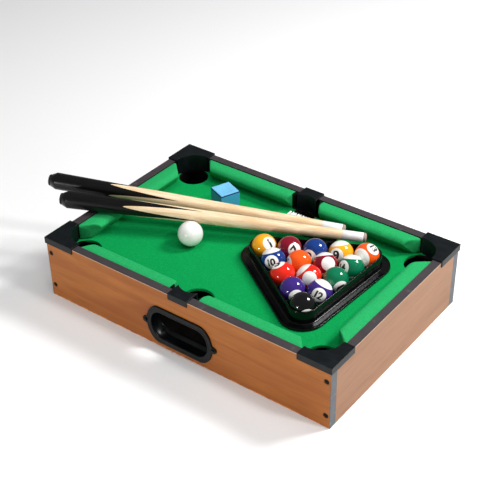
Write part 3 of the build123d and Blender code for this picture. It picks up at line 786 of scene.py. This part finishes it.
def long_ring(half_x, half_z, straight, y, level, ears=0.0, curb=0.0):
    """One loop of the long opening; ears swell its ends round the screws, a curb lifts its floor."""
    points = []
    for side in (1, -1):
        for k in range(END_STEPS + 1):
            a = -math.pi / 2 + math.pi * k / END_STEPS
            x = straight + (half_x - straight) * math.cos(a)
            z = half_z * math.sin(a)
            if ears:
                lobe = math.sqrt(max(0.0, ears ** 2 - z ** 2))
                reach = EAR_X * MM + lobe - 5 * max(0.0, abs(z) - ears)
                near = max(0.0, 1 - abs(x - reach) / EAR_BLEND)
                x = max(x, reach) + near * near * EAR_BLEND / 4
            height = side * z
            height += curb * max(0.0, -height / half_z) ** 2
            points.append(Vector((side * x, y, level + height)))
    return points


# =====================================================================
# Balls and rack
# =====================================================================

def ball_shape(node, sides=72):
    """A round ball where the CAD has it."""
    low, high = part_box(node)
    centre, radius = (low + high) / 2, (high.z - low.z) / 2
    steps = sides // 2
    profile = []
    for k in range(steps + 1):
        a = math.pi * k / steps
        profile.append((radius * (1 - math.cos(a)), radius * math.sin(a) if 0 < k < steps else 0.0))
    start = centre - Vector((0, 0, radius))
    return turned(node, profile, start, Vector((0, 0, 1)), sides), centre, radius


def numeral_axes(turn, tilt, roll):
    """Outward, right and up directions of a printed number."""
    out = direction(turn, tilt)
    level_up = (Vector((0, 0, 1)) - out * out.z).normalized()
    level_right = level_up.cross(out)
    a = math.radians(roll)
    up = level_up * math.cos(a) + level_right * math.sin(a)
    return out, up.cross(out), up


def numeral(number, centre, radius, axes):
    """A printed number wrapped on the ball, a hair proud of its surface."""
    text = bpy.data.curves.new("numeral", "FONT")
    text.body = str(number)
    text.size = radius * NUMERAL_SIZES[number > 9]
    text.align_x = "CENTER"
    text.align_y = "CENTER"
    text.offset = text.size * 0.02
    text.extrude = NUMERAL_THICK
    text.resolution_u = 4
    text.space_character = 0.86
    obj = bpy.data.objects.new("numeral", text)
    bpy.context.scene.collection.objects.link(obj)
    flat = settled(obj)
    shape = bmesh.new()
    for nudge in (-1, 1, 1):
        flat.transform(Matrix.Translation((nudge * text.size * BOLD, 0, 0)))
        shape.from_mesh(flat)
    bmesh.ops.remove_doubles(shape, verts=shape.verts, dist=2e-6)
    for cut in (Vector((1, 0, 0)), Vector((0, 1, 0))):
        places = [v.co.dot(cut) for v in shape.verts]
        low, high = min(places), max(places)
        for k in range(1, math.ceil((high - low) / NUMERAL_STEP)):
            everything = [*shape.verts, *shape.edges, *shape.faces]
            bmesh.ops.bisect_plane(shape, geom=everything, plane_co=cut * (low + k * NUMERAL_STEP),
                                   plane_no=cut)
    bmesh.ops.triangulate(shape, faces=shape.faces)
    xs = [v.co.x for v in shape.verts]
    ys = [v.co.y for v in shape.verts]
    shift = Vector(((min(xs) + max(xs)) / 2, (min(ys) + max(ys)) / 2, 0))
    out, right, up = axes
    for v in shape.verts:
        flat_place = v.co - shift
        aim = out * radius + right * flat_place.x + up * flat_place.y
        v.co = centre + aim.normalized() * (radius + NUMERAL_GAP + flat_place.z)
    return mesh_from(f"numeral_{number:02d}", shape, 30)


def balls():
    """The cue ball and the fifteen numbered balls."""
    mesh, centre, radius = ball_shape("cue_ball")
    white = resin_ball("cue_ball_resin", centre, radius, PLAIN_WHITE)
    piece("cue_ball_sphere", mesh, white, "cue_ball", "ball_white", "cue_ball")
    for number, place in sorted(MARKS.items()):
        node = f"ball_{number:02d}"
        mesh, centre, radius = ball_shape(node)
        axes = numeral_axes(*place)
        stripe = axes[2] if number > 8 else None
        resin = resin_ball(f"{node}_resin", centre, radius, COLOURS[(number - 1) % 8], axes[0],
                           stripe, DISC_RADIUS)
        piece(f"{node}_sphere", mesh, resin, node, node, node)
        piece(f"{node}_number", numeral(number, centre, radius, axes), INK, node, None)


def rack():
    """One section carried round the triangle: thin wall, dished foot and a raised outer rim."""
    corners = [middle(node).xy for node in RACK_CORNERS]
    low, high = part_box("rack")
    foot = low.z + RACK_FOOT
    inner, outer, edge = [d * MM for d in RACK_REACH]
    section = rounded([
        (inner, low.z, 0.0003), (inner, high.z, 0.0007), (outer, high.z, 0.0007),
        (outer + 0.00015, foot, 0.0016), (edge - 0.0022, foot - 0.0001, 0.0008),
        (edge - 0.0009, foot + 0.0007, 0.0004), (edge, foot + 0.0007, 0.0004), (edge, low.z, 0.0003)], 4)
    rings = []
    for base, outward in rack_path(corners):
        rings.append([Vector((*(base + outward * point.x), point.y)) for point in section])
    piece("rack_moulding", skin("rack", rings, loop=True, angle=50), RACK_BLACK,
          "rack", "black_gloss_plastic", "rack")


def rack_path(corners):
    """Points round the triangle of corner balls, each with its outward direction."""
    count = len(corners)
    normals = []
    heart = sum(corners, Vector((0, 0))) / count
    for i in range(count):
        run = corners[(i + 1) % count] - corners[i]
        normal = Vector((run.y, -run.x)).normalized()
        normals.append(normal if normal.dot(corners[i] - heart) > 0 else -normal)
    path = []
    for i in range(count):
        before, after = normals[i - 1], normals[i]
        for k in range(CORNER_STEPS + 1):
            path.append((corners[i], before.slerp(after, k / CORNER_STEPS)))
        for k in range(1, SIDE_STEPS):
            path.append((corners[i].lerp(corners[(i + 1) % count], k / SIDE_STEPS), after))
    return path


# =====================================================================
# Cues, chalk and brush
# =====================================================================

def cue(word):
    """A tapered shaft with a bevelled butt, rubber bumper, ferrule and leather tip."""
    heading, dip = [math.radians(a) for a in CUE_LIE[word]]
    along = Vector((math.cos(dip) * math.cos(heading), math.cos(dip) * math.sin(heading), -math.sin(dip)))
    centre = middle(f"{word}_cue_bumper")
    butt = centre - along * (BUMPER_LENGTH / 2)
    turn = (Matrix.Rotation(-dip, 3, "Y") @ Matrix.Rotation(-heading, 3, "Z")).to_euler("XYZ")
    shaft_end = CUE_LENGTH - TIP_LENGTH - FERRULE_LENGTH
    ferrule_end = CUE_LENGTH - TIP_LENGTH
    joint = FERRULE_RADIUS + 0.25 * MM
    rim = BUTT_RADIUS
    dome = FERRULE_RADIUS - 0.2 * MM
    profiles = {
        "shaft": [(BUMPER_LENGTH, 0), (BUMPER_LENGTH, BUMPER_RADIUS + 0.3 * MM),
                  (BUMPER_LENGTH + 0.15 * MM, BUMPER_RADIUS + 0.6 * MM),
                  (BUMPER_LENGTH + 3.9 * MM, rim - 0.35 * MM), (BUMPER_LENGTH + 4.5 * MM, rim - 0.05 * MM),
                  (BUMPER_LENGTH + 5.6 * MM, rim - 0.02 * MM)],
        "ferrule": [(shaft_end, 0), (shaft_end, joint - 0.15 * MM), (shaft_end + 0.2 * MM, joint),
                    (shaft_end + 0.5 * (ferrule_end - shaft_end), (joint + FERRULE_RADIUS) / 2),
                    (ferrule_end - 0.25 * MM, FERRULE_RADIUS), (ferrule_end, FERRULE_RADIUS - 0.2 * MM),
                    (ferrule_end, 0)],
        "tip": [(ferrule_end, 0), (ferrule_end, dome), (ferrule_end + 0.8 * MM, dome + 0.06 * MM),
                (CUE_LENGTH - 1.3 * MM, dome), (CUE_LENGTH - 0.75 * MM, dome * 0.88),
                (CUE_LENGTH - 0.35 * MM, dome * 0.62), (CUE_LENGTH - 0.08 * MM, dome * 0.30),
                (CUE_LENGTH, 0)],
        "bumper": [(0, 0), (0, BUMPER_RADIUS - 0.9 * MM), (0.25 * MM, BUMPER_RADIUS - 0.3 * MM),
                   (0.8 * MM, BUMPER_RADIUS), (BUMPER_LENGTH, BUMPER_RADIUS), (BUMPER_LENGTH, 0)],
    }
    steps = 60
    for k in range(1, steps + 1):
        share = k / steps
        reach = BUMPER_LENGTH + 5.6 * MM
        profiles["shaft"].append((reach + (shaft_end - reach) * share, rim + (joint - rim) * share))
    profiles["shaft"].append((shaft_end, 0))
    maple = cue_paint(f"{word}_cue_paint", butt, turn, CUE_ROLL[word], SPLICE_END[word])
    finishes = {
        "shaft": (maple, "cue_maple"),
        "ferrule": (WHITE, "white_plastic"),
        "tip": (LEATHER, "tip_leather"),
        "bumper": (RUBBER, "bumper_rubber"),
    }
    for name, profile in profiles.items():
        material, slot = finishes[name]
        node = f"{word}_cue_{name}"
        piece(f"{node}_turned", turned(node, profile, butt, along), material, f"{word}_cue", slot, node)


def chalk():
    """The chalk cube and its paper label."""
    low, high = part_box("chalk_wrapper")
    label = wrapper_paper("wrapper_label", low.z, high.z)
    cake = chalk_cake("chalk_powder")
    piece("chalk_cube", eased("chalk_block", 0.5 * MM, 3), cake, "chalk", "chalk_blue", "chalk_block")
    piece("chalk_label", eased("chalk_wrapper", 0.15 * MM, 2), label, "chalk", "wrapper_paper",
          "chalk_wrapper")


def bristle_tree(material):
    """Geometry Nodes: tufts of bristles set in rows on a brush head, fanning out a little."""
    tree = bpy.data.node_groups.new("bristle_rows", "GeometryNodeTree")
    tree.interface.new_socket("Geometry", in_out="OUTPUT", socket_type="NodeSocketGeometry")
    for name, kind, value in (("Row Length", "NodeSocketFloat", 0.03),
                              ("Row Height", "NodeSocketFloat", 0.004),
                              ("Bristle Length", "NodeSocketFloat", 0.012),
                              ("Bristle Radius", "NodeSocketFloat", 0.0002),
                              ("Tufts", "NodeSocketInt", 10), ("Rows", "NodeSocketInt", 2),
                              ("Bristles", "NodeSocketInt", 12), ("Spread", "NodeSocketFloat", 0.1),
                              ("Seed", "NodeSocketInt", 7)):
        socket = tree.interface.new_socket(name, in_out="INPUT", socket_type=kind)
        socket.default_value = value
    entry = tree.nodes.new("NodeGroupInput")

    def add(kind, settings=None, inputs=None):
        node = tree.nodes.new(kind)
        for key, value in (settings or {}).items():
            setattr(node, key, value)
        for key, value in (inputs or {}).items():
            if isinstance(value, bpy.types.NodeSocket):
                tree.links.new(value, node.inputs[key])
            else:
                node.inputs[key].default_value = value
        return node

    sizes = entry.outputs
    holes = add("GeometryNodeMeshGrid", None, {
        "Size X": sizes["Row Length"], "Size Y": sizes["Row Height"],
        "Vertices X": sizes["Tufts"], "Vertices Y": sizes["Rows"]})
    line = add("GeometryNodeCurvePrimitiveLine", {"mode": "DIRECTION"},
               {"Direction": (0, 0, 1), "Length": sizes["Bristle Length"]})
    fine = add("GeometryNodeResampleCurve", None, {"Curve": line.outputs["Curve"], "Count": 4})
    circle = add("GeometryNodeCurvePrimitiveCircle", None,
                 {"Resolution": 5, "Radius": sizes["Bristle Radius"]})
    bristle = add("GeometryNodeCurveToMesh", None, {
        "Curve": fine.outputs["Curve"], "Profile Curve": circle.outputs["Curve"], "Fill Caps": True})
    sprigs = add("GeometryNodeDuplicateElements", {"domain": "POINT"},
                 {"Geometry": holes.outputs["Mesh"], "Amount": sizes["Bristles"]})
    jitter = add("FunctionNodeRandomValue", {"data_type": "FLOAT_VECTOR"}, {
        "Min": (-0.00085, -0.00085, -0.0002), "Max": (0.00085, 0.00085, 0.0), "Seed": sizes["Seed"]})
    moved = add("GeometryNodeSetPosition", None,
                {"Geometry": sprigs.outputs["Geometry"], "Offset": jitter.outputs["Value"]})
    lean = add("FunctionNodeRandomValue", {"data_type": "FLOAT_VECTOR"}, {
        "Min": (-1, -1, 0), "Max": (1, 1, 0), "Seed": sizes["Seed"]})
    tilt = add("ShaderNodeVectorMath", {"operation": "SCALE"},
               {0: lean.outputs["Value"], "Scale": sizes["Spread"]})
    length = add("FunctionNodeRandomValue", {"data_type": "FLOAT"},
                 {"Min": 0.93, "Max": 1.0, "Seed": sizes["Seed"]})
    planted = add("GeometryNodeInstanceOnPoints", None, {
        "Points": moved.outputs["Geometry"], "Instance": bristle.outputs["Mesh"],
        "Rotation": tilt.outputs["Vector"], "Scale": length.outputs["Value"]})
    real = add("GeometryNodeRealizeInstances", None, {"Geometry": planted.outputs["Instances"]})
    dressed = add("GeometryNodeSetMaterial", None,
                  {"Geometry": real.outputs["Geometry"], "Material": material})
    leave = tree.nodes.new("NodeGroupOutput")
    tree.links.new(dressed.outputs["Geometry"], leave.inputs["Geometry"])
    return tree


def brush():
    """The brush's stained handle and its rows of bristles."""
    piece("brush_handle_wood", eased("brush_handle", 0.3 * MM), stained_wood("brush_stain"),
          "brush", "brush_wood", "brush_handle")
    low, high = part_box("brush_bristles")
    size = high - low
    nylon = bristle_nylon("brush_nylon")
    obj = bpy.data.objects.new("bristles", bpy.data.meshes.new("bristles"))
    bpy.context.scene.collection.objects.link(obj)
    rows = obj.modifiers.new("rows", "NODES")
    rows.node_group = bristle_tree(nylon)
    wanted = {"Row Length": size.x - 2.6 * MM, "Row Height": size.z - 2.6 * MM,
              "Bristle Length": size.y - 0.4 * MM, "Bristle Radius": 0.16 * MM,
              "Tufts": 11, "Rows": 2, "Bristles": 16, "Spread": 0.06, "Seed": 11}
    for item in rows.node_group.interface.items_tree:
        if item.in_out == "INPUT":
            rows[item.identifier] = wanted[item.name]
    mesh = settled(obj)
    mesh.transform(Matrix.Rotation(math.radians(-90), 4, "X"))
    centre = middle("brush_bristles")
    mesh.transform(Matrix.Translation((centre.x, low.y + 0.3 * MM, centre.z)))
    piece("brush_bristle_rows", soften(mesh, 60), nylon, "brush", "bristle_white", "brush_bristles")


# =====================================================================
# Studio
# =====================================================================

def camera():
    """Long lens from the front left, above the table."""
    turn, tilt = math.radians(CAMERA_AZIMUTH), math.radians(CAMERA_ELEVATION)
    view = Vector((-math.sin(turn) * math.cos(tilt), math.cos(turn) * math.cos(tilt), -math.sin(tilt)))
    lens = bpy.data.cameras.new("camera")
    lens.lens = CAMERA_LENS
    lens.sensor_width = 36.0
    lens.clip_start = 0.01
    obj = bpy.data.objects.new("camera", lens)
    bpy.context.scene.collection.objects.link(obj)
    facing = view.to_track_quat("-Z", "Y").to_matrix().to_4x4()
    rolled = facing @ Matrix.Rotation(math.radians(CAMERA_ROLL), 4, "Z")
    obj.matrix_world = Matrix.Translation(CAMERA_AIM - view * CAMERA_DISTANCE) @ rolled
    bpy.context.scene.camera = obj


def area_light(name, turn, tilt, distance, size, watts, reflected):
    """A square soft light on a sphere round the table, facing it."""
    lamp = bpy.data.lights.new(name, "AREA")
    lamp.size = size
    lamp.energy = watts
    obj = bpy.data.objects.new(name, lamp)
    bpy.context.scene.collection.objects.link(obj)
    obj.visible_glossy = reflected
    away = direction(turn, tilt)
    facing = away.to_track_quat("Z", "Y").to_matrix().to_4x4()
    obj.matrix_world = Matrix.Translation(middle("bed_cloth") + away * distance) @ facing


def studio():
    """White paper floor, pale surroundings, a key light behind and a fill in front."""
    shape = bmesh.new()
    bmesh.ops.create_grid(shape, x_segments=8, y_segments=8, size=3.0)
    floor = bpy.data.objects.new("floor", mesh_from("floor", shape))
    bpy.context.scene.collection.objects.link(floor)
    floor.data.transform(Matrix.Translation((0, 0, -0.05 * MM)))
    floor.data.materials.append(studio_floor("floor_paper"))
    world = bpy.data.worlds.new("studio")
    world.use_nodes = True
    sky = next(n for n in world.node_tree.nodes if n.type == "BACKGROUND")
    sky.inputs["Color"].default_value = (1, 1, 1, 1)
    sky.inputs["Strength"].default_value = WORLD_STRENGTH
    bpy.context.scene.world = world
    bpy.context.scene.view_settings.view_transform = "Standard"
    for light in LIGHTS:
        area_light(*light)


panels()
hidden_boards()
pocket_caps()
bed()
for number, name in enumerate(CUSHIONS):
    cushion(name, number * 3.7)
ball_return()
balls()
rack()
for word in CUE_LIE:
    cue(word)
chalk()
brush()
camera()
studio()
